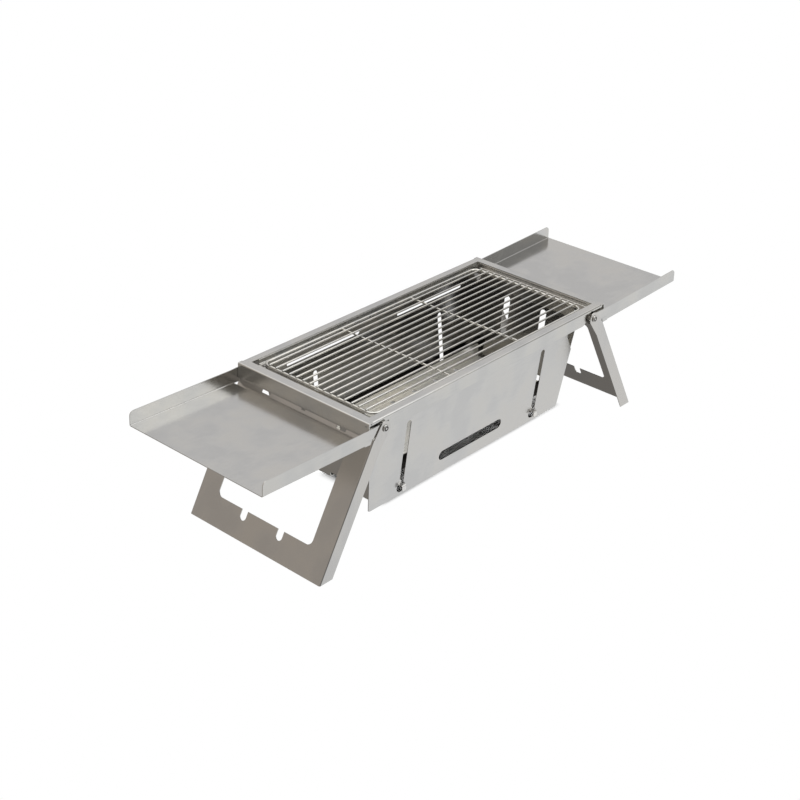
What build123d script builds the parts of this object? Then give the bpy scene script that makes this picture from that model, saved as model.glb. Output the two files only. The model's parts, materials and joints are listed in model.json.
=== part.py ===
from build123d import *
import os
from math import cos, radians, sin, tan

# Folding camp grill in stainless sheet and wire.
# A shallow frame stands on two splayed sheet legs, and carries a fold-over table at each end.
# A four-sided firebox with a charcoal tray hangs in the frame, and a wire grate lies on top of it.
#
# Millimetres. X runs along the length, Y to the back, Z up.
# The origin is on the ground, under the middle of the grill.

# ---------------------------------------------------------------- driving dimensions
sheet = 1.0  # thickness of every sheet
bend_line = 1.5  # bend radius on the middle of the sheet
contact_gap = 0.05  # between sheets that rest on each other but lift apart

# frame
frame_length = 456.0
frame_width = 218.0
frame_top = 180.0  # height of the cooking rim
opening_length = 431.0
opening_width = 196.0
end_wall_bottom = 158.5
hem_width = 7.0  # return under each end wall, the stop of the leg
lip_length = 446.0
lip_bottom = 176.5
apron_bottom = 160.0
apron_half_length = 193.0  # the deep part of the apron, between the pivots
apron_strip_bottom = 172.0  # the shallow part, past the pivots
ledge_top = 172.2
side_ledge_edge = 88.9
end_ledge_edge = 203.6

# pivots, shared by a table and a leg
pivot_x = 203.5
pivot_z = 166.5
shank_radius = 3.0
pivot_hole_radius = 3.05
rivet_head_radius = 4.5
apron_setback = 0.6  # between the apron and the rim's side lip
bracket_outside = 106.4  # outer face of the bracket that holds the rivet
table_flange_inside = 109.6
leg_flange_inside = 111.0
rivet_head_inside = 112.2
rivet_end = 113.8

# tables
table_start = 235.5
table_end = 395.0
table_tilt = 1.7  # degrees that the open tables slope up to their outer ends
table_plate_bottom = 152.9  # this and the flange's top are for a level table
table_flange_top = 171.7
table_corner_radius = 6.0
table_ear_radius = 7.0

# legs
leg_lean = 29.0  # degrees from upright
leg_offset = 13.2  # from the pivot to the outside of the leg plate
leg_plate_start = 16.6  # below the pivot, along the leg
leg_flange_depth = 18.5
leg_ear_radius = 9.0
leg_window_start = 41.9
leg_window_end = 160.9
leg_window_width = 160.0
leg_window_radius = 8.0
leg_notch_spacing = 62.0
leg_notch_width = 10.0
leg_notch_depth = 13.0
lug_gap_spacing = 125.2  # the two gaps in the leg's top edge
lug_gap_width = 15.0
lug_gap_depth = 6.0
middle_gap_width = 6.0
middle_gap_depth = 4.0

# firebox panels
panel_lean = 0.115  # outward travel for each millimetre up
panel_shoulder = 157.5  # height where the panel turns upright
side_panel_bottom = 27.0
side_panel_foot = 72.8  # outer face at the bottom edge
end_panel_foot = 187.5  # outer face at the height of the side panels' bottom edge
end_panel_bottom = 47.0
end_panel_shelf = 177.0  # inner edge of the tongue that carries the tray
hanger_reach = 6.0  # the flange that hangs on the ledge
panel_play = 0.25
keyhole_height = 39.0
keyhole_radius = 7.5
keyhole_slot_width = 8.0
keyhole_slot_top = 137.5
front_keyhole_x = 131.0
back_keyhole_x = 120.0
vent_height = 53.0
vent_length = 124.0
vent_width = 14.0

# charcoal tray
tray_half_length = 185.0
tray_half_width = 66.0
tray_floor_bottom = 54.0
tray_lip_top = 76.0
hook_width = 7.0
hook_root = 52.0
hook_drop = 71.3  # distance from the middle where a hook turns down inside the panel
hook_level = 43.0  # height where it passes through the keyhole
hook_reach = 79.5
hook_bottom = 36.0

# grate
grate_half_length = 202.0
grate_half_width = 91.5
grate_corner_radius = 10.0
frame_wire_radius = 1.8
rod_radius = 1.25
rod_count = 15
crossbar_x = 66.0
weld_sink = 0.4  # how far welded wires sink into each other

# ---------------------------------------------------------------- derived sizes
half_sheet = sheet / 2
half_length = frame_length / 2
half_width = frame_width / 2
rim_line = frame_top - half_sheet
rim_underside = frame_top - sheet
flange_line = rim_underside - half_sheet  # flanges that are fixed under the rim
ledge_line = ledge_top - half_sheet
hanger_line = ledge_top + contact_gap + half_sheet
hanger_top = hanger_line + half_sheet
table_flange_line = table_flange_inside + half_sheet
leg_flange_line = leg_flange_inside + half_sheet
through = frame_length  # longer than any cut needs


def side_panel_face(height):
    """How far from the middle the outer face of a side panel is, at a height below its shoulder."""
    return side_panel_foot + panel_lean * (height - side_panel_bottom)


def end_panel_face(height):
    """How far from the middle the outer face of an end panel is, at a height below its shoulder."""
    return end_panel_foot + panel_lean * (height - side_panel_bottom)


def folded_sheet(section_plane, line_points, width):
    """Add a sheet folded along a centre line, with its width centred on the section plane."""
    with BuildSketch(section_plane) as section:
        with BuildLine():
            FilletPolyline(*line_points, radius=bend_line)
        trace(line_width=sheet)
    extrude(section.sketch, amount=width / 2, both=True)


def disc(start, end, radius, mode=Mode.ADD):
    """Add or cut a round on the pivot axis, between two distances in front of the middle."""
    with BuildSketch(Plane.XZ.offset(start)) as circle:
        with Locations((pivot_x, pivot_z)):
            Circle(radius)
    extrude(circle.sketch, amount=end - start, mode=mode)


def to_four_corners():
    """Repeat what stands at the front right corner at the other three."""
    mirror(about=Plane.XZ)
    mirror(about=Plane.YZ)


# ---------------------------------------------------------------- frame
# The rim with its short side lips, and an end wall with a hem at each end, all one sheet.
lip_line = half_width - half_sheet
end_line = half_length - half_sheet
hem_line = end_wall_bottom + half_sheet
rim_overlap = 2.0  # where the end piece runs into the rim
relief_radius = 1.2
relief_inset = 4.5

with BuildPart() as top_frame:
    folded_sheet(
        Plane.YZ,
        [(-lip_line, lip_bottom), (-lip_line, rim_line), (lip_line, rim_line), (lip_line, lip_bottom)],
        lip_length,
    )
    for side in (-1, 1):
        folded_sheet(
            Plane.XZ,
            [
                (side * (lip_length / 2 - rim_overlap), rim_line),
                (side * end_line, rim_line),
                (side * end_line, hem_line),
                (side * (half_length - hem_width), hem_line),
            ],
            frame_width,
        )
    with BuildSketch(Plane.XY.offset(rim_underside)):
        Rectangle(opening_length, opening_width)
    extrude(amount=sheet, mode=Mode.SUBTRACT)
    # corner reliefs in the end walls
    with BuildSketch(Plane.YZ):
        for side in (-1, 1):
            with Locations((side * (half_width - relief_inset), frame_top - relief_inset)):
                Circle(relief_radius)
    extrude(amount=half_length, both=True, mode=Mode.SUBTRACT)

# The aprons are sheets behind the rim's side lips: deep in the middle, shallow past the pivots.
apron_line = half_width - sheet - apron_setback - half_sheet
apron_flange_edge = 103.0
apron_end_gap = 1.1
apron_length = frame_length - 2 * (sheet + apron_end_gap)
apron_corner_radius = 10.0
apron_height = 40.0  # only the lower part of this outline matters

with BuildPart() as front_apron:
    folded_sheet(
        Plane.YZ,
        [(-apron_line, apron_bottom), (-apron_line, flange_line), (-apron_flange_edge, flange_line)],
        apron_length,
    )
    with BuildSketch(Plane.XZ):
        with Locations((0, (apron_strip_bottom + frame_top) / 2)):
            Rectangle(apron_length, frame_top - apron_strip_bottom)
        with Locations((0, apron_bottom + apron_height / 2)):
            RectangleRounded(2 * apron_half_length, apron_height, apron_corner_radius)
    extrude(amount=half_width, mode=Mode.INTERSECT)

with BuildPart() as back_apron:
    mirror(front_apron.part, about=Plane.XZ)

# Z-shaped ledges under the rim carry the firebox and the grate.
side_ledge_wall = 99.1
side_ledge_flange_edge = 102.5
side_ledge_length = 405.0
end_ledge_wall = 216.1
end_ledge_flange_edge = 224.0

with BuildPart() as front_ledge:
    folded_sheet(
        Plane.YZ,
        [
            (-side_ledge_flange_edge, flange_line),
            (-side_ledge_wall, flange_line),
            (-side_ledge_wall, ledge_line),
            (-side_ledge_edge, ledge_line),
        ],
        side_ledge_length,
    )

with BuildPart() as back_ledge:
    mirror(front_ledge.part, about=Plane.XZ)

with BuildPart() as right_ledge:
    folded_sheet(
        Plane.XZ,
        [
            (end_ledge_flange_edge, flange_line),
            (end_ledge_wall, flange_line),
            (end_ledge_wall, ledge_line),
            (end_ledge_edge, ledge_line),
        ],
        opening_width,
    )

with BuildPart() as left_ledge:
    mirror(right_ledge.part, about=Plane.YZ)

# ---------------------------------------------------------------- pivots
# A bracket behind each end of the aprons, with a rivet that carries a table and a leg.
bracket_radius = 9.0
bracket_length = 33.0
bracket_top = 176.5
bracket_bar = 5.0
rivet_tail = 1.5
rivet_dome = 1.2
spacer_radius = 4.2
washer_radius = 6.0

with BuildPart() as pivot_brackets:
    with BuildSketch(Plane.XZ.offset(bracket_outside - sheet)):
        with Locations((pivot_x, pivot_z)):
            Circle(bracket_radius)
        with Locations((pivot_x, bracket_top - bracket_bar / 2)):
            Rectangle(bracket_length, bracket_bar)
        make_hull()
        with Locations((pivot_x, bracket_top + bracket_radius)):
            Rectangle(bracket_length, 2 * bracket_radius, mode=Mode.SUBTRACT)
    extrude(amount=sheet)
    disc(bracket_outside - sheet, bracket_outside, pivot_hole_radius, Mode.SUBTRACT)
    to_four_corners()

with BuildPart() as pivot_rivets:
    disc(bracket_outside - sheet - rivet_tail, bracket_outside - sheet, rivet_head_radius)
    disc(bracket_outside - sheet, rivet_head_inside, shank_radius)
    disc(rivet_head_inside, rivet_end, rivet_head_radius)
    fillet(edges().filter_by(GeomType.CIRCLE).sort_by(Axis.Y)[0], radius=rivet_dome)
    to_four_corners()

with BuildPart() as pivot_spacers:
    disc(bracket_outside, table_flange_inside - contact_gap, spacer_radius)
    disc(bracket_outside, table_flange_inside - contact_gap, pivot_hole_radius, Mode.SUBTRACT)
    to_four_corners()

with BuildPart() as pivot_washers:
    washer_start = table_flange_inside + sheet + contact_gap
    washer_end = leg_flange_inside - contact_gap
    disc(washer_start, washer_end, washer_radius)
    disc(washer_start, washer_end, pivot_hole_radius, Mode.SUBTRACT)
    to_four_corners()

# ---------------------------------------------------------------- tables
# A table is a channel. Its flanges run on past the plate, and past the top of the leg as ears on the
# pivots. A tab bent inward from each ear meets the apron's strip when the table is open.
table_length = table_end - table_start
table_middle = (table_start + table_end) / 2
table_plate_line = table_plate_bottom + half_sheet
ear_root_bottom = 159.0  # clears the top of the leg
ear_root_length = 6.0
flange_foot_start = 226.2  # at the flange's bottom edge
flange_foot_slope = tan(radians(leg_lean - table_tilt))  # keeps the foot parallel to the leg
stop_tab_start = 200.4
stop_tab_length = 2.6
stop_tab_inside = 106.6
stop_tab_gap = 0.1
right_pivot = Axis((pivot_x, 0, pivot_z), (0, 1, 0))

with BuildPart() as level_table:
    folded_sheet(
        Plane.YZ.offset(table_middle),
        [
            (-table_flange_line, table_flange_top),
            (-table_flange_line, table_plate_line),
            (table_flange_line, table_plate_line),
            (table_flange_line, table_flange_top),
        ],
        table_length,
    )
    flange_corners = edges().filter_by(Axis.Y).filter_by_position(Axis.X, table_end - 0.1, table_end + 0.1)
    fillet(flange_corners.group_by(Axis.Z)[-1], radius=table_corner_radius)
    for side_plane in (Plane.XZ.offset(table_flange_inside), Plane.XZ.offset(-table_flange_inside - sheet)):
        with BuildSketch(side_plane):
            with Locations((pivot_x, pivot_z)):
                Circle(table_ear_radius)
            with Locations((table_start + ear_root_length / 2, (ear_root_bottom + table_flange_top) / 2)):
                Rectangle(ear_root_length, table_flange_top - ear_root_bottom)
            make_hull()
            foot_height = ear_root_bottom - table_plate_bottom
            with BuildLine():
                Polyline(
                    (flange_foot_start, table_plate_bottom),
                    (flange_foot_start - flange_foot_slope * foot_height, ear_root_bottom),
                    (table_start, ear_root_bottom),
                    (table_start, table_plate_bottom),
                    close=True,
                )
            make_face()
        extrude(amount=sheet)
    disc(-through, through, pivot_hole_radius, Mode.SUBTRACT)

with BuildPart() as right_table:
    add(level_table.part.rotate(right_pivot, -table_tilt))
    tab_centre = (stop_tab_inside + table_flange_inside) / 2
    tab_level = apron_strip_bottom - stop_tab_gap - half_sheet
    for side in (-1, 1):
        with Locations((stop_tab_start + stop_tab_length / 2, side * tab_centre, tab_level)):
            Box(stop_tab_length, table_flange_inside - stop_tab_inside, sheet)

with BuildPart() as left_table:
    mirror(right_table.part, about=Plane.YZ)

# ---------------------------------------------------------------- legs
# A leg is a channel too, with its plate outside and its flanges towards the firebox.
leg_out = (cos(radians(leg_lean)), 0, sin(radians(leg_lean)))
leg_down = (sin(radians(leg_lean)), 0, -cos(radians(leg_lean)))
leg_origin = (pivot_x + leg_offset * leg_out[0], 0, pivot_z + leg_offset * leg_out[2])
leg_length = leg_origin[2] / cos(radians(leg_lean))
leg_channel = leg_length + leg_flange_depth - leg_plate_start
leg_face = Plane(origin=leg_origin, x_dir=leg_down, z_dir=leg_out)
leg_section = Plane(origin=leg_origin, x_dir=(0, 1, 0), z_dir=leg_down)
leg_side = Plane(origin=leg_origin, x_dir=leg_down, z_dir=(0, -1, 0))
leg_ear_root = 12.0
bend_clear = 2.0
window_length = leg_window_end - leg_window_start
window_middle = (leg_window_start + leg_window_end) / 2
notch_length = 3 * leg_notch_width

with BuildPart() as right_leg:
    folded_sheet(
        leg_section.offset(leg_plate_start + leg_channel / 2),
        [
            (-leg_flange_line, -leg_flange_depth),
            (-leg_flange_line, -half_sheet),
            (leg_flange_line, -half_sheet),
            (leg_flange_line, -leg_flange_depth),
        ],
        leg_channel,
    )
    for side_plane in (leg_side.offset(leg_flange_inside), leg_side.offset(-leg_flange_inside - sheet)):
        with BuildSketch(side_plane):
            with Locations((0, -leg_offset)):
                Circle(leg_ear_radius)
            with Locations((leg_plate_start + leg_ear_root / 2, -(leg_flange_depth + bend_clear) / 2)):
                Rectangle(leg_ear_root, leg_flange_depth - bend_clear)
            make_hull()
        extrude(amount=sheet)
    disc(-through, through, pivot_hole_radius, Mode.SUBTRACT)
    with BuildSketch(leg_face):
        with Locations((window_middle, 0)):
            RectangleRounded(window_length, leg_window_width, leg_window_radius)
        with Locations((leg_window_end + leg_notch_depth - notch_length / 2, 0)):
            with GridLocations(0, leg_notch_spacing, 1, 2):
                SlotOverall(notch_length, leg_notch_width)
        with Locations((leg_plate_start, 0)):
            with GridLocations(0, lug_gap_spacing, 1, 2):
                Rectangle(2 * lug_gap_depth, lug_gap_width)
            Rectangle(2 * middle_gap_depth, middle_gap_width)
    extrude(amount=2 * sheet, both=True, mode=Mode.SUBTRACT)
    split(bisect_by=Plane.XY, keep=Keep.TOP)

with BuildPart() as left_leg:
    mirror(right_leg.part, about=Plane.YZ)

# ---------------------------------------------------------------- firebox panels
# Each panel leans outward up to its shoulder, stands upright above it, and hangs on the ledge.
# The front panel's upper corners are cut off, the back panel's are whole.
cheek_height = 114.0  # where the cut starts on the sloping edge
front_cut_x = 183.0
front_cut_top = 138.0
end_shoulder_face = end_panel_face(panel_shoulder)
front_panel_corners = [
    (end_panel_face(cheek_height), cheek_height),
    (front_cut_x, front_cut_top),
    (front_cut_x, frame_top),
]
back_panel_corners = [(end_shoulder_face, panel_shoulder), (end_shoulder_face, frame_top)]
side_panel_corner_radius = 3.0
top_slot_start = 36.0
top_slot_end = 167.0
top_slot_level = 162.0
top_slot_width = 5.0
shoulder_line = side_panel_face(panel_shoulder) - half_sheet


def side_panel(keyhole_x, upper_corners):
    """Add a panel at the front, with its keyholes at the given distance from the middle."""
    folded_sheet(
        Plane.YZ,
        [
            (-side_panel_face(side_panel_bottom) + half_sheet, side_panel_bottom),
            (-shoulder_line, panel_shoulder),
            (-shoulder_line, hanger_line),
            (-shoulder_line - hanger_reach, hanger_line),
        ],
        2 * end_shoulder_face,
    )
    with BuildSketch(Plane.XZ) as outline:
        with BuildLine():
            Polyline(
                (0, side_panel_bottom),
                (end_panel_face(side_panel_bottom), side_panel_bottom),
                *upper_corners,
                (0, frame_top),
            )
            mirror(about=Plane.YZ)
        make_face()
        fillet(outline.vertices().group_by(Axis.Y)[0], radius=side_panel_corner_radius)
        with Locations((0, vent_height)):
            SlotOverall(vent_length, vent_width, mode=Mode.SUBTRACT)
        for side in (-1, 1):
            with Locations((side * keyhole_x, keyhole_height)):
                Circle(keyhole_radius, mode=Mode.SUBTRACT)
            with Locations((side * keyhole_x, (keyhole_height + keyhole_slot_top) / 2)):
                slot_length = keyhole_slot_top - keyhole_height
                SlotOverall(slot_length, keyhole_slot_width, rotation=90, mode=Mode.SUBTRACT)
            with Locations((side * (top_slot_start + top_slot_end) / 2, top_slot_level)):
                SlotOverall(top_slot_end - top_slot_start, top_slot_width, mode=Mode.SUBTRACT)
    extrude(outline.sketch, amount=half_width, mode=Mode.INTERSECT)


with BuildPart() as front_panel:
    side_panel(front_keyhole_x, front_panel_corners)

with BuildPart() as back_panel:
    side_panel(back_keyhole_x, back_panel_corners)
    mirror(about=Plane.XZ, mode=Mode.REPLACE)

# The end panels stand between the side panels. A tongue in the wide notch at their foot is bent
# inward and carries the tray.
end_hanger_half_width = 80.0
end_slot_spacing = 62.0
end_slot_width = 10.0
end_slot_bottom = 98.0
end_slot_top = 153.5
end_shoulder_line = end_shoulder_face - half_sheet
foot_notch_width = 96.0
foot_notch_top = 60.0
foot_notch_radius = 5.0
tongue_width = 24.0
tongue_root = 63.0
tongue_line = tray_floor_bottom - contact_gap - half_sheet
end_foot_y = side_panel_face(end_panel_bottom) - sheet - panel_play
end_shoulder_y = side_panel_face(panel_shoulder) - sheet - panel_play

with BuildPart() as right_end_panel:
    folded_sheet(
        Plane.XZ,
        [
            (end_panel_face(end_panel_bottom) - half_sheet, end_panel_bottom),
            (end_shoulder_line, panel_shoulder),
            (end_shoulder_line, hanger_line),
            (end_shoulder_line + hanger_reach, hanger_line),
        ],
        frame_width,
    )
    with BuildSketch(Plane.YZ) as end_outline:
        with BuildLine():
            Polyline(
                (0, foot_notch_top),
                (foot_notch_width / 2, foot_notch_top),
                (foot_notch_width / 2, end_panel_bottom),
                (end_foot_y, end_panel_bottom),
                (end_shoulder_y, panel_shoulder),
                (end_hanger_half_width, apron_strip_bottom - hanger_reach),
                (end_hanger_half_width, frame_top),
                (0, frame_top),
            )
            mirror(about=Plane.YZ)
        make_face()
        notch_corners = end_outline.vertices().group_by(Axis.Y)[1]
        fillet(notch_corners, radius=foot_notch_radius)
        for side in (-1, 1):
            with Locations((side * end_slot_spacing / 2, (end_slot_bottom + end_slot_top) / 2)):
                slot_length = end_slot_top - end_slot_bottom
                SlotOverall(slot_length, end_slot_width, rotation=90, mode=Mode.SUBTRACT)
    extrude(amount=half_length, mode=Mode.INTERSECT)
    folded_sheet(
        Plane.XZ,
        [
            (end_panel_shelf, tongue_line),
            (end_panel_face(tongue_line) - half_sheet, tongue_line),
            (end_panel_face(tongue_root) - half_sheet, tongue_root),
        ],
        tongue_width,
    )

with BuildPart() as left_end_panel:
    mirror(right_end_panel.part, about=Plane.YZ)

# ---------------------------------------------------------------- charcoal tray
tray_line = tray_floor_bottom + half_sheet
tray_edge_line = tray_half_width - half_sheet
tray_corner_radius = 5.0
air_hole_radius = 3.5
air_hole_columns = 7
air_hole_rows = 5
air_hole_pitch = 43.4
air_hole_row_pitch = 29.5

with BuildPart() as charcoal_tray:
    folded_sheet(
        Plane.YZ,
        [
            (-tray_edge_line, tray_lip_top),
            (-tray_edge_line, tray_line),
            (tray_edge_line, tray_line),
            (tray_edge_line, tray_lip_top),
        ],
        2 * tray_half_length,
    )
    fillet(edges().filter_by(Axis.Y).group_by(Axis.Z)[-1], radius=tray_corner_radius)
    with BuildSketch(Plane.XY.offset(tray_floor_bottom)):
        with GridLocations(air_hole_pitch, air_hole_row_pitch, air_hole_columns, air_hole_rows):
            Circle(air_hole_radius)
    extrude(amount=sheet, mode=Mode.SUBTRACT)

# Four hooks under the floor turn down, reach out through the keyholes and turn down outside the panels.
hook_line = tray_floor_bottom - half_sheet

with BuildPart() as tray_hooks:
    for row, keyhole_x in ((-1, front_keyhole_x), (1, back_keyhole_x)):
        for side in (-1, 1):
            folded_sheet(
                Plane.YZ.offset(side * keyhole_x),
                [
                    (row * hook_root, hook_line),
                    (row * hook_drop, hook_line),
                    (row * hook_drop, hook_level),
                    (row * hook_reach, hook_level),
                    (row * hook_reach, hook_bottom),
                ],
                hook_width,
            )

# ---------------------------------------------------------------- grate
# Rods lie on the frame wire and on two crossbars that butt against its long sides.
frame_wire_level = hanger_top + contact_gap + frame_wire_radius
crossbar_level = frame_wire_level + frame_wire_radius - rod_radius
rod_level = crossbar_level + 2 * rod_radius - weld_sink
rod_pitch = 2 * grate_half_width / (rod_count + 1)
rod_overhang = 1.0
rod_half_length = grate_half_length + rod_overhang
crossbar_half_length = grate_half_width - frame_wire_radius + weld_sink

with BuildPart() as grate_frame_wire:
    with BuildLine(Plane.XY.offset(frame_wire_level)) as loop:
        FilletPolyline(
            (grate_half_length, grate_half_width),
            (-grate_half_length, grate_half_width),
            (-grate_half_length, -grate_half_width),
            (grate_half_length, -grate_half_width),
            radius=grate_corner_radius,
            close=True,
        )
    with BuildSketch(Plane(origin=loop.wire() @ 0, z_dir=loop.wire() % 0)):
        Circle(frame_wire_radius)
    sweep(path=loop.wire())

with BuildPart() as grate_rods:
    with BuildSketch(Plane.YZ):
        with Locations((0, rod_level)):
            with GridLocations(rod_pitch, 0, rod_count, 1):
                Circle(rod_radius)
    extrude(amount=rod_half_length, both=True)

with BuildPart() as grate_crossbars:
    with BuildSketch(Plane.XZ):
        with Locations((0, crossbar_level)):
            with GridLocations(2 * crossbar_x, 0, 2, 1):
                Circle(rod_radius)
    extrude(amount=crossbar_half_length, both=True)

# ---------------------------------------------------------------- export
pieces = {
    "top_frame": top_frame,
    "front_apron": front_apron,
    "back_apron": back_apron,
    "front_ledge": front_ledge,
    "back_ledge": back_ledge,
    "left_ledge": left_ledge,
    "right_ledge": right_ledge,
    "pivot_brackets": pivot_brackets,
    "pivot_rivets": pivot_rivets,
    "pivot_spacers": pivot_spacers,
    "pivot_washers": pivot_washers,
    "left_table": left_table,
    "right_table": right_table,
    "left_leg": left_leg,
    "right_leg": right_leg,
    "front_panel": front_panel,
    "back_panel": back_panel,
    "left_end_panel": left_end_panel,
    "right_end_panel": right_end_panel,
    "charcoal_tray": charcoal_tray,
    "tray_hooks": tray_hooks,
    "grate_frame_wire": grate_frame_wire,
    "grate_rods": grate_rods,
    "grate_crossbars": grate_crossbars,
}

os.makedirs("parts", exist_ok=True)
for name, piece in pieces.items():
    piece.part.label = name
    export_step(piece.part, f"parts/{name}.step")
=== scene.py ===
"""Looks of the folding camp grill: brushed stainless sheet, bright wire and a soft white studio."""
import json
import math

import bpy
from mathutils import Matrix, Vector

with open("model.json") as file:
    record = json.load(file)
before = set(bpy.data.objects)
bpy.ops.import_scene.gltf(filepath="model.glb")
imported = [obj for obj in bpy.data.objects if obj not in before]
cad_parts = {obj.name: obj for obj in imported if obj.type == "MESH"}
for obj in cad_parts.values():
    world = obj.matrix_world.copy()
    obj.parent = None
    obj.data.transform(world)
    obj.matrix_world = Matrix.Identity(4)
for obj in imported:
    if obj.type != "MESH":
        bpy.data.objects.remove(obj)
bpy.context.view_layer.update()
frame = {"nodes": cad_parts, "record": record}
nodes = frame["nodes"]

MM = 0.001
PIVOT_X, PIVOT_Z = 0.2035, 0.1665  # the rivets, from the middle and above the ground
LEG_LEAN = math.radians(29)
FIREBOX_MIDDLE = (0, 0, 56 * MM)  # inside the firebox, and just above the tray's floor
# colour of the painted shade on the firebox's inner faces and the tray's outer face
PAINTED_SHADE = (0.05, 0.045, 0.04, 1)
RING_SHADE = (0.06, 0.055, 0.05, 1)
WHITE = (1, 1, 1, 1)
BLACK = (0, 0, 0, 1)


# ---------------------------------------------------------------- node helpers
def set_input(tree, socket, value):
    """Connect a socket to another node's output, or give it a plain value."""
    if isinstance(value, bpy.types.NodeSocket):
        tree.links.new(value, socket)
    else:
        socket.default_value = value


def math_node(tree, operation, a, b=0.0):
    node = tree.nodes.new("ShaderNodeMath")
    node.operation = operation
    set_input(tree, node.inputs[0], a)
    set_input(tree, node.inputs[1], b)
    return node.outputs[0]


def map_range(tree, value, start, end, smooth=False):
    """Turn the values from start[0] to start[1] into end[0] to end[1], and stop there."""
    node = tree.nodes.new("ShaderNodeMapRange")
    node.interpolation_type = "SMOOTHSTEP" if smooth else "LINEAR"
    set_input(tree, node.inputs["Value"], value)
    for socket, limit in zip(node.inputs[1:5], (*start, *end)):
        socket.default_value = limit
    return node.outputs["Result"]


def mix_colour(tree, factor, a, b, blend_type="MIX"):
    node = tree.nodes.new("ShaderNodeMix")
    node.data_type = "RGBA"
    node.blend_type = blend_type
    set_input(tree, node.inputs["Factor"], factor)
    set_input(tree, node.inputs["A"], a)
    set_input(tree, node.inputs["B"], b)
    return node.outputs["Result"]


def dot_product(tree, a, b):
    node = tree.nodes.new("ShaderNodeVectorMath")
    node.operation = "DOT_PRODUCT"
    set_input(tree, node.inputs[0], a)
    set_input(tree, node.inputs[1], b)
    return node.outputs["Value"]


def share_out(tree, a, b, share):
    """Mean of two values, of which b has the given share."""
    kept = math_node(tree, "MULTIPLY", a, 1 - share)
    added = math_node(tree, "MULTIPLY", b, share)
    return math_node(tree, "ADD", kept, added)


def split_axes(tree, vector):
    node = tree.nodes.new("ShaderNodeSeparateXYZ")
    tree.links.new(vector, node.inputs[0])
    return node.outputs


def noise(tree, vector, scale, detail=2.0, stretch=(1, 1, 1), rotation=(0, 0, 0)):
    """Noise with its scale in cells per metre, drawn out along the axis whose stretch is smallest."""
    mapping = tree.nodes.new("ShaderNodeMapping")
    mapping.inputs["Rotation"].default_value = rotation
    mapping.inputs["Scale"].default_value = stretch
    tree.links.new(vector, mapping.inputs["Vector"])
    node = tree.nodes.new("ShaderNodeTexNoise")
    node.inputs["Scale"].default_value = scale
    node.inputs["Detail"].default_value = detail
    tree.links.new(mapping.outputs["Vector"], node.inputs["Vector"])
    return node.outputs["Fac"]


# ---------------------------------------------------------------- shader helpers
def start_material(name):
    """A new material, with its node tree and its shader."""
    material = bpy.data.materials.new(name)
    material.use_nodes = True
    tree = material.node_tree
    return material, tree, tree.nodes["Principled BSDF"]


def place_in_object(tree):
    return tree.nodes.new("ShaderNodeTexCoord").outputs["Object"]


def tinted(colour, factors):
    """A colour with each channel multiplied by its own factor."""
    return [min(1, channel * factor) for channel, factor in zip(colour, factors)] + [1]


def add_bump(tree, height, strength, distance, invert=False):
    """Bump the shader's surface by a height, over any bump that it has already."""
    normal = tree.nodes["Principled BSDF"].inputs["Normal"]
    bump = tree.nodes.new("ShaderNodeBump")
    bump.invert = invert
    bump.inputs["Strength"].default_value = strength
    bump.inputs["Distance"].default_value = distance
    tree.links.new(height, bump.inputs["Height"])
    if normal.is_linked:
        tree.links.new(normal.links[0].from_socket, bump.inputs["Normal"])
    tree.links.new(bump.outputs["Normal"], normal)


def paint_into_base(tree, amount, colour):
    """Mix the shader's present base colour towards another one by an amount, to paint shade into it.
    """
    base = tree.nodes["Principled BSDF"].inputs["Base Color"]
    polish = base.links[0].from_socket
    tree.links.new(mix_colour(tree, amount, polish, colour), base)


# ---------------------------------------------------------------- materials
def brushed_steel(name, colour, roughness, grain, turn=0.0, dullness=0.0):
    """Stainless steel brushed along one axis, which may be turned about Y by an angle in radians.
    Dullness is how much of its look is a matt film."""
    material, tree, shader = start_material(name)
    place = place_in_object(tree)
    along, across = 0.02, 1.0
    stretch = [along if axis == grain else across for axis in "XYZ"]
    rotation = (0, turn, 0)

    # Brushing: fine lines and coarser ones.
    fine = noise(tree, place, 3200, 3, stretch, rotation)
    coarse = noise(tree, place, 1100, 2, stretch, rotation)
    streak = share_out(tree, fine, coarse, 0.45)

    # Handling: broad clouds and smaller smears.
    patch = noise(tree, place, 9, 2)
    smear = noise(tree, place, 26, 3, (1, 1, 0.6))
    handled = share_out(tree, patch, smear, 0.5)

    dark = tinted(colour, (0.94, 0.94, 0.94))
    light = tinted(colour, (1.04, 1.04, 1.04))
    warm = tinted(colour, (1.02, 1, 0.965))
    cloud_depth = 1.8
    clouds = math_node(tree, "MULTIPLY", math_node(tree, "SUBTRACT", handled, 0.5), cloud_depth)
    tone = map_range(tree, math_node(tree, "ADD", streak, clouds), (0.35, 0.65), (0, 1))
    warmth = map_range(tree, handled, (0.42, 0.6), (0, 0.75), True)
    streaked = mix_colour(tree, tone, dark, light)
    tree.links.new(mix_colour(tree, warmth, streaked, warm), shader.inputs["Base Color"])

    spread = 0.04
    brushed = map_range(tree, streak, (0.3, 0.7), (roughness - spread, roughness + spread))
    touched = map_range(tree, handled, (0.4, 0.62), (-0.02, 0.03))
    tree.links.new(math_node(tree, "ADD", brushed, touched), shader.inputs["Roughness"])

    add_bump(tree, streak, 0.12, 0.05 * MM)
    shader.inputs["Metallic"].default_value = 1 - dullness
    return material


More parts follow.
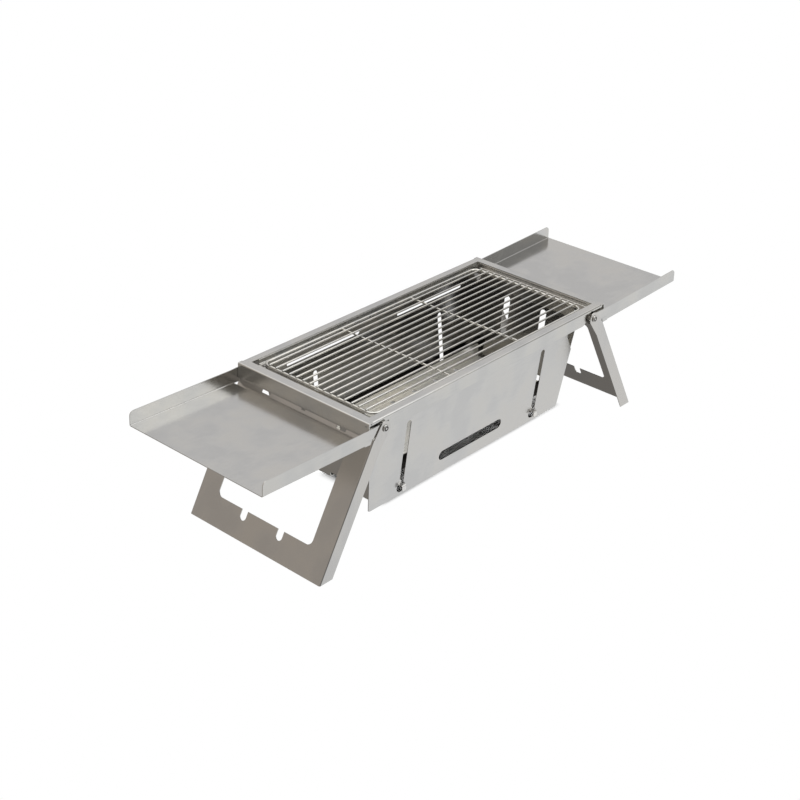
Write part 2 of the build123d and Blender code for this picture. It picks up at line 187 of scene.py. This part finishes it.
def drawn_wire(name, colour, roughness):
    """Bright drawn wire with faint lengthwise lines and cloudy handling marks."""
    material, tree, shader = start_material(name)
    place = place_in_object(tree)
    lines = noise(tree, place, 1800, 2, (0.02, 1, 1))
    cloud = noise(tree, place, 60, 3)
    dark = tinted(colour, (0.86, 0.86, 0.86))
    warm = tinted(colour, (1.03, 1.01, 0.97))
    tone = map_range(tree, cloud, (0.35, 0.65), (0, 1))
    tree.links.new(mix_colour(tree, tone, dark, warm), shader.inputs["Base Color"])
    gloss = map_range(tree, cloud, (0.3, 0.7), (roughness - 0.05, roughness + 0.08))
    tree.links.new(gloss, shader.inputs["Roughness"])
    add_bump(tree, lines, 0.1, 0.03 * MM)
    shader.inputs["Metallic"].default_value = 1
    return material


def rivet_metal(name, colour, roughness):
    """Polished rivet steel with a pressed ring around the middle of each head, darkened with painted
    shade in its groove.
    """
    material = drawn_wire(name, colour, roughness)
    tree = material.node_tree
    place = split_axes(tree, place_in_object(tree))
    along = math_node(tree, "SUBTRACT", math_node(tree, "ABSOLUTE", place["X"]), PIVOT_X)
    up = math_node(tree, "SUBTRACT", place["Z"], PIVOT_Z)
    along_squared = math_node(tree, "MULTIPLY", along, along)
    up_squared = math_node(tree, "MULTIPLY", up, up)
    radius = math_node(tree, "SQRT", math_node(tree, "ADD", along_squared, up_squared))
    outside_middle = map_range(tree, radius, (1.2 * MM, 1.7 * MM), (0, 1), True)
    inside_edge = map_range(tree, radius, (2.9 * MM, 3.3 * MM), (1, 0), True)
    ring = math_node(tree, "MULTIPLY", outside_middle, inside_edge)
    # painted shade in the pressed ring's groove
    paint_into_base(tree, ring, RING_SHADE)
    add_bump(tree, ring, 1, 0.4 * MM, invert=True)
    return material


OUTER, INNER = 1, -1


def paint_side_shade(material, share, side):
    """Paint shade on a sheet's outer side or its inner one, standing in for the shade between the
    panels and inside the firebox, by a share that varies a little."""
    tree = material.node_tree
    surface = tree.nodes.new("ShaderNodeTexCoord").outputs
    outward = tree.nodes.new("ShaderNodeVectorMath")
    outward.operation = "SUBTRACT"
    tree.links.new(surface["Object"], outward.inputs[0])
    outward.inputs[1].default_value = FIREBOX_MIDDLE
    facing = dot_product(tree, outward.outputs["Vector"], surface["Normal"])
    chosen = map_range(tree, facing, (0, side * 1.5 * MM), (0, 1))
    cloud = noise(tree, surface["Object"], 14, 3)
    depth = map_range(tree, cloud, (0.35, 0.65), (share - 0.12, share + 0.08))
    # painted shade: the chosen side is darkened towards the shade colour
    paint_into_base(tree, math_node(tree, "MULTIPLY", chosen, depth), PAINTED_SHADE)
    return material


plain_colour = (0.62, 0.62, 0.61)
leg_colour = (0.60, 0.595, 0.585)
hook_film, tray_film = 0.008, 0.008
firebox_steel = brushed_steel("firebox_steel", (0.62, 0.62, 0.615), 0.2, "X")
end_panel_steel = brushed_steel("end_panel_steel", (0.61, 0.605, 0.59), 0.2, "Y")
tray_steel = brushed_steel("tray_steel", (0.76, 0.75, 0.71), 0.3, "X", dullness=tray_film)
steel = {
    "frame_sheet": brushed_steel("frame_steel", plain_colour, 0.2, "X"),
    "table_sheet": brushed_steel("table_steel", plain_colour, 0.17, "X"),
    "right_leg": brushed_steel("right_leg_steel", leg_colour, 0.21, "Z", LEG_LEAN),
    "left_leg": brushed_steel("left_leg_steel", leg_colour, 0.21, "Z", -LEG_LEAN),
    # painted shade: the firebox's and end panels' inner faces and the tray's outer face are darkened
    "firebox_sheet": paint_side_shade(firebox_steel, 0.5, INNER),
    "end_panel": paint_side_shade(end_panel_steel, 0.4, INNER),
    "tray_sheet": paint_side_shade(tray_steel, 0.85, OUTER),
    "tray_hooks": brushed_steel("hook_steel", (0.78, 0.775, 0.76), 0.25, "Z", dullness=hook_film),
    "rivet_steel": rivet_metal("rivet_polish", (0.66, 0.66, 0.65), 0.16),
    "grate_wire": drawn_wire("grate_wire_steel", (0.72, 0.72, 0.7), 0.14),
}

# A node takes the steel of its slot in the record, unless it is named here.
slot_of = {part["node"]: part["material_slot"] for part in frame["record"]["subparts"]}
own_material = {
    "tray_hooks": "tray_hooks",
    "left_leg": "left_leg",
    "right_leg": "right_leg",
    "left_end_panel": "end_panel",
    "right_end_panel": "end_panel",
}
for node_name, node in nodes.items():
    slots = node.data.materials
    for index in range(len(slots)):
        slots[index] = steel[own_material.get(node_name, slot_of[node_name])]


# ---------------------------------------------------------------- studio
def lobe(tree, direction, towards, inner, outer, colour):
    """A soft round patch of light in the world, full inside one angle in degrees and gone outside
    the other."""
    closeness = dot_product(tree, direction, Vector(towards).normalized())
    edges = (math.cos(math.radians(outer)), math.cos(math.radians(inner)))
    level = map_range(tree, closeness, edges, (0, 1), True)
    return mix_colour(tree, level, BLACK, (*colour, 1))


def make_world():
    """The camera sees plain white. The metal sees a dim room with patches of light: bright overhead,
    pale from low on the right, and dim and warm on the left."""
    world = bpy.data.worlds.new("studio")
    bpy.context.scene.world = world
    world.use_nodes = True
    tree = world.node_tree
    direction = tree.nodes.new("ShaderNodeTexCoord").outputs["Generated"]
    patches = (
        ((0.1, 0.05, 1), 18, 48, (1.1, 1.1, 1.08)),  # overhead
        ((0.2, 0.1, 1), 40, 80, (0.2, 0.2, 0.2)),  # wide around it
        ((0.75, 0.6, 0.5), 25, 60, (0.34, 0.34, 0.35)),  # back right
        ((0.6, -0.7, 0.42), 30, 60, (0.12, 0.12, 0.12)),  # front right
        ((0.55, -0.4, -0.73), 24, 58, (0.64, 0.65, 0.66)),  # low on the right, as from the floor
        ((-0.8, 0.35, 0.35), 30, 80, (0.24, 0.21, 0.18)),  # left
    )
    light = (0.2, 0.19, 0.18, 1)
    for towards, inner, outer, colour in patches:
        patch = lobe(tree, direction, towards, inner, outer, colour)
        light = mix_colour(tree, 1, light, patch, "ADD")
    seen = tree.nodes["Background"]
    tree.links.new(light, seen.inputs["Color"])
    plain = tree.nodes.new("ShaderNodeBackground")
    plain.inputs["Color"].default_value = WHITE
    to_camera = tree.nodes.new("ShaderNodeLightPath").outputs["Is Camera Ray"]
    choice = tree.nodes.new("ShaderNodeMixShader")
    tree.links.new(to_camera, choice.inputs["Fac"])
    tree.links.new(seen.outputs["Background"], choice.inputs[1])
    tree.links.new(plain.outputs["Background"], choice.inputs[2])
    tree.links.new(choice.outputs["Shader"], tree.nodes["World Output"].inputs["Surface"])


def make_floor():
    """A white floor that glows, except under the firebox, where it has no glow and a painted dark
    colour and is lit only by the overhead light, so it is dark there with painted shade as well as
    with the firebox's real shade. The metal's reflections take the floor from the room instead."""
    half = 6.0
    corners = [(-half, -half, 0), (half, -half, 0), (half, half, 0), (-half, half, 0)]
    mesh = bpy.data.meshes.new("floor")
    mesh.from_pydata(corners, [], [(0, 1, 2, 3)])
    floor = bpy.data.objects.new("floor", mesh)
    bpy.context.scene.collection.objects.link(floor)

    material, tree, shader = start_material("white_floor_painted_shade")
    shader.inputs["Roughness"].default_value = 0.9
    shader.inputs["Specular IOR Level"].default_value = 0.0
    place = split_axes(tree, place_in_object(tree))
    # painted shade: the floor under the firebox gets this dark colour and no glow
    painted_shade_floor_colour = (0.08, 0.08, 0.08, 1)
    # Along each axis: where the patch of painted shade under the firebox starts, is full, begins to
    # fall off and ends.
    shade_patch_stretches = {"X": (-0.14, -0.12, 0.22, 0.24), "Y": (-0.05, -0.04, 0.12, 0.17)}
    under = 1.0
    for axis, (start, full, fall, end) in shade_patch_stretches.items():
        rise = map_range(tree, place[axis], (start, full), (0, 1), True)
        drop = map_range(tree, place[axis], (fall, end), (1, 0), True)
        under = math_node(tree, "MULTIPLY", math_node(tree, "MULTIPLY", rise, drop), under)
    tree.links.new(mix_colour(tree, under, BLACK, painted_shade_floor_colour), shader.inputs["Base Color"])
    shader.inputs["Emission Color"].default_value = WHITE
    glow = math_node(tree, "SUBTRACT", 1.0, under)
    tree.links.new(glow, shader.inputs["Emission Strength"])
    mesh.materials.append(material)
    floor.visible_glossy = False


def area_light(name, place, target, size, power, reflected):
    """A square light, which shows in the metal only if it is said to be reflected."""
    data = bpy.data.lights.new(name, "AREA")
    data.size = size
    data.energy = power
    light = bpy.data.objects.new(name, data)
    bpy.context.scene.collection.objects.link(light)
    light.location = place
    looking = Vector(target) - Vector(place)
    light.rotation_euler = looking.to_track_quat("-Z", "Y").to_euler()
    light.visible_glossy = reflected


def make_camera():
    """The photograph's view: from the front left, looking down at the grill's long side."""
    azimuth, elevation, roll = math.radians(48.65), math.radians(28.66), 0.027
    target = Vector((-0.078, -0.0225, 0.12))
    distance = 1.9284
    looking = Vector((
        math.sin(azimuth) * math.cos(elevation),
        math.cos(azimuth) * math.cos(elevation),
        -math.sin(elevation),
    ))
    data = bpy.data.cameras.new("camera")
    data.sensor_width = 36
    data.lens = 69.675
    camera = bpy.data.objects.new("camera", data)
    bpy.context.scene.collection.objects.link(camera)
    camera.rotation_mode = "QUATERNION"
    turn = looking.to_track_quat("-Z", "Y").to_matrix() @ Matrix.Rotation(roll, 3, "Z")
    camera.rotation_quaternion = turn.to_quaternion()
    camera.location = target - looking * distance
    bpy.context.scene.camera = camera


make_world()
make_floor()
area_light("overhead", (0, 0, 2.4), (0, 0, 0), 3.0, 3500, False)
area_light("softbox", (0.35, -0.75, 0.8), (-0.1, 0, 0.15), 0.65, 1.5, True)
make_camera()
bpy.context.scene.view_settings.view_transform = "Standard"
